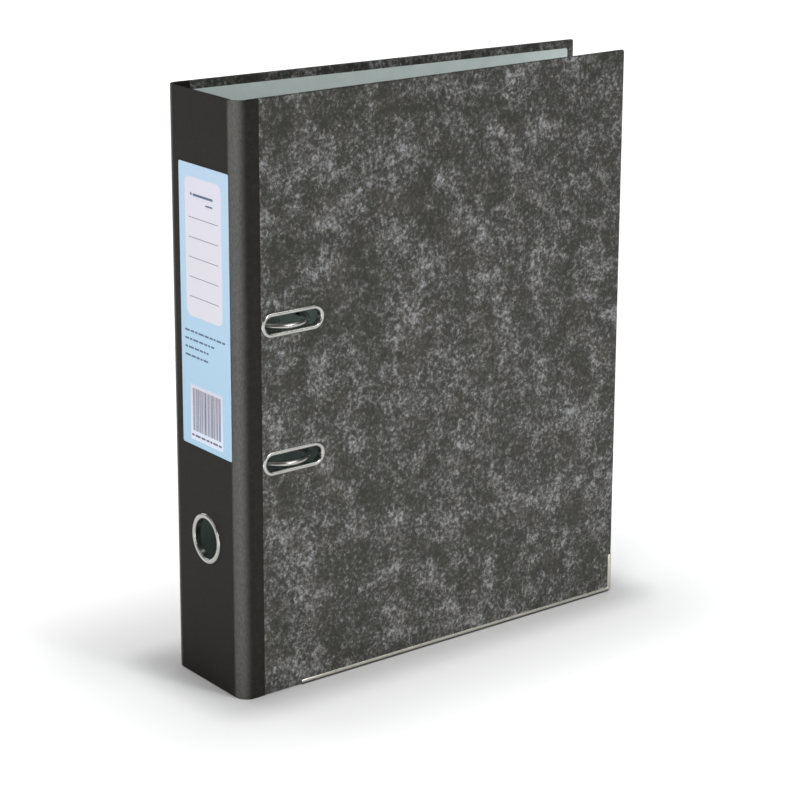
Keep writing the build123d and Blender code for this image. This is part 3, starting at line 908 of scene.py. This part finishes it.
label_card(LABEL_BLUE)
printed("label_panel", [(6.4, 44.4, 217.0, 296.6, 4.5)], LABEL_WHITE, -0.21)
printed("label_code_panel", [(8.8, 43.0, 144.5, 177.0, 0.6)], LABEL_LILAC, -0.21)
printed(
    "label_rules",
    [(9.9, 40.9, z - 0.22, z + 0.22, 0.1) for z in (273.7, 262.4, 251.0, 239.7, 228.4)],
    INK_GREY,
)
title = [
    (12.0, 13.9, 286.0, 287.9, 0.9),
    (14.8, 36.0, 286.1, 287.5, 0.6),
    (28.0, 35.5, 282.0, 283.0, 0.4),
]
rows = []
for row, (end, z) in enumerate(((46.7, 207.4), (35.2, 202.6), (29.0, 197.8), (28.3, 193.0))):
    rows += word_marks(4.1, end, z, 1.15, row + 1)
printed("label_marks", title + rows, INK_BLUE)
printed("label_bars", bar_pattern() + word_marks(9.6, 41.5, 146.6, 1.2, 3), INK_BAR)

# The mechanism: the CAD's own sheet metal, with its cut edges eased ------------------------------


def eased(node_name, width, material, body, sharp=30.0):
    """A copy of a CAD node with its flat faces joined up and its edges rounded by width."""
    mesh = frame["nodes"][node_name].data.copy()
    mesh.name = f"{node_name}_eased"
    bm = bmesh.new()
    bm.from_mesh(mesh)
    bmesh.ops.remove_doubles(bm, verts=bm.verts, dist=1e-7)
    bmesh.ops.dissolve_limit(bm, angle_limit=radians(0.5), verts=bm.verts, edges=bm.edges)
    bmesh.ops.recalc_face_normals(bm, faces=bm.faces)
    bm.to_mesh(mesh)
    bm.free()
    if mesh.has_custom_normals:
        mesh.normals_split_custom_set([(0, 0, 0)] * len(mesh.loops))
    obj = bpy.data.objects.new(mesh.name, mesh)
    bpy.context.scene.collection.objects.link(obj)
    mesh.materials.clear()
    mesh.materials.append(material)
    shade(mesh, sharp)
    modifier = obj.modifiers.new("eased", "BEVEL")
    modifier.width = width * MM
    modifier.segments = 2
    modifier.limit_method = "ANGLE"
    modifier.angle_limit = radians(sharp)
    modifier.harden_normals = True
    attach(obj, body)
    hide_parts(node_name)
    return obj


eased("base_plate", 0.18, SHEET, "back_cover")
eased("lever", 0.2, SHEET, "lever")
eased("compressor_bar", 0.25, SHEET, "compressor")
eased("compressor_clip", 0.5, CLIP, "compressor")

# Floor, light and camera -------------------------------------------------------------------------


def distance_from(material, point):
    made = node(material, "VectorMath", (("operation", "DISTANCE"),))
    material.node_tree.links.new(coordinates(material), made.inputs[0])
    made.inputs[1].default_value = point
    return made.outputs["Value"]


def stage_floor():
    m = new_material("pale_floor")
    soft = noise(m, coordinates(m), 0.002, 2.0, 0.5)
    tone = ramp(m, soft, ((0.3, (0.86, 0.86, 0.865)), (0.7, (0.88, 0.88, 0.885))))
    # The floor glows by its own emission, nil at the shut file's footprint and growing outwards:
    # painted light, which leaves a painted shadow round the file.
    place = node(m, "SeparateXYZ", Vector=coordinates(m)).outputs
    lean = maths(m, "MULTIPLY", maths(m, "SUBTRACT", place["X"], LEFT), tan(LEAN) / 2)
    aside = maths(m, "ADD", maths(m, "ABSOLUTE", maths(m, "SUBTRACT", place["Y"], lean)), lean)
    aside = maths(m, "MAXIMUM", maths(m, "SUBTRACT", aside, BACK), 0.0)
    along = maths(m, "SUBTRACT", maths(m, "ABSOLUTE", place["X"]), -LEFT)
    along = maths(m, "MAXIMUM", along, 0.0)
    squares = maths(m, "ADD", maths(m, "POWER", aside, 2.0), maths(m, "POWER", along, 2.0))
    away = maths(m, "SQRT", squares)
    glow = maths(m, "ADD", span(m, away, 0, 40, 0, 0.3), span(m, away, 20, 170, 0, 0.35))
    glow = maths(m, "ADD", glow, span(m, away, 500, 4000, 0, 0.2))
    # A strongly glowing patch of the floor off to the left of the file is painted light, and it
    # shows in the file's rounded corner.
    painted_light_patch = span(m, distance_from(m, (-720, -436, 0)), 200, 560, 2.4, 0)
    glow = maths(m, "ADD", glow, painted_light_patch)
    set_surface(
        m,
        Base_Color=tone,
        Roughness=0.6,
        Specular_IOR_Level=0.2,
        Emission_Color=(1, 1, 1, 1),
        Emission_Strength=glow,
    )
    r = 9000.0
    floor = piece(
        "studio_floor", ([(-r, -r, 0), (r, -r, 0), (r, r, 0), (-r, r, 0)], [(0, 1, 2, 3)]), m
    )


def softbox(name, place, size, power, target=(0, 0, 0.17)):
    light = bpy.data.lights.new(name, "AREA")
    light.shape = "RECTANGLE"
    light.size, light.size_y = size
    light.energy = power
    aimed(name, light, place, target)


def aimed(name, light, place, target):
    lamp = bpy.data.objects.new(name, light)
    bpy.context.scene.collection.objects.link(lamp)
    lamp.location = place
    aim = Vector(target) - Vector(place)
    lamp.rotation_mode = "QUATERNION"
    lamp.rotation_quaternion = aim.to_track_quat("-Z", "Y")


stage_floor()
world = bpy.data.worlds.new("studio")
bpy.context.scene.world = world
world.use_nodes = True
world.node_tree.nodes["Background"].inputs["Color"].default_value = (1, 1, 1, 1)
world.node_tree.nodes["Background"].inputs["Strength"].default_value = 0.12
softbox("key_light", (-2.1, -1.5, 0.8), (0.5, 1.3), 18)
softbox("top_light", (0.5, 0.9, 3.2), (5.0, 5.0), 43, (0.5, 0.9, 0))
softbox("left_light", (-2.6, 0.9, 1.2), (1.5, 1.5), 6)
softbox("back_light", (-0.6, 3.2, 1.6), (2.4, 1.6), 30)
softbox("front_light", (1.3, -2.7, 1.8), (2.0, 1.6), 35, (0, 0, 0.1))
low_spot = bpy.data.lights.new("low_spot", "SPOT")
low_spot.energy, low_spot.spot_size, low_spot.spot_blend = 230, radians(17), 1.0
low_spot.shadow_soft_size = 0.3
aimed("low_spot", low_spot, (0.9, -2.6, 0.8), (0.03, -0.03, -0.19))
bpy.context.scene.view_settings.view_transform = "Standard"

camera = bpy.data.cameras.new("camera")
camera.lens = 120.98
camera.sensor_width = 36.0
camera.clip_start, camera.clip_end = 0.05, 50.0
eye = bpy.data.objects.new("camera", camera)
bpy.context.scene.collection.objects.link(eye)
yaw, pitch, roll = radians(35.425), radians(-16.206), radians(0.222)
forward = Vector((sin(yaw) * cos(pitch), cos(yaw) * cos(pitch), sin(pitch)))
level_right = forward.cross(Vector((0, 0, 1))).normalized()
level_up = level_right.cross(forward)
right = level_right * cos(roll) + level_up * sin(roll)
up = right.cross(forward)
eye.matrix_world = Matrix.Translation((-0.89666, -1.24675, 0.59273)) @ Matrix(
    (right, up, -forward)
).transposed().to_4x4()
bpy.context.scene.camera = eye
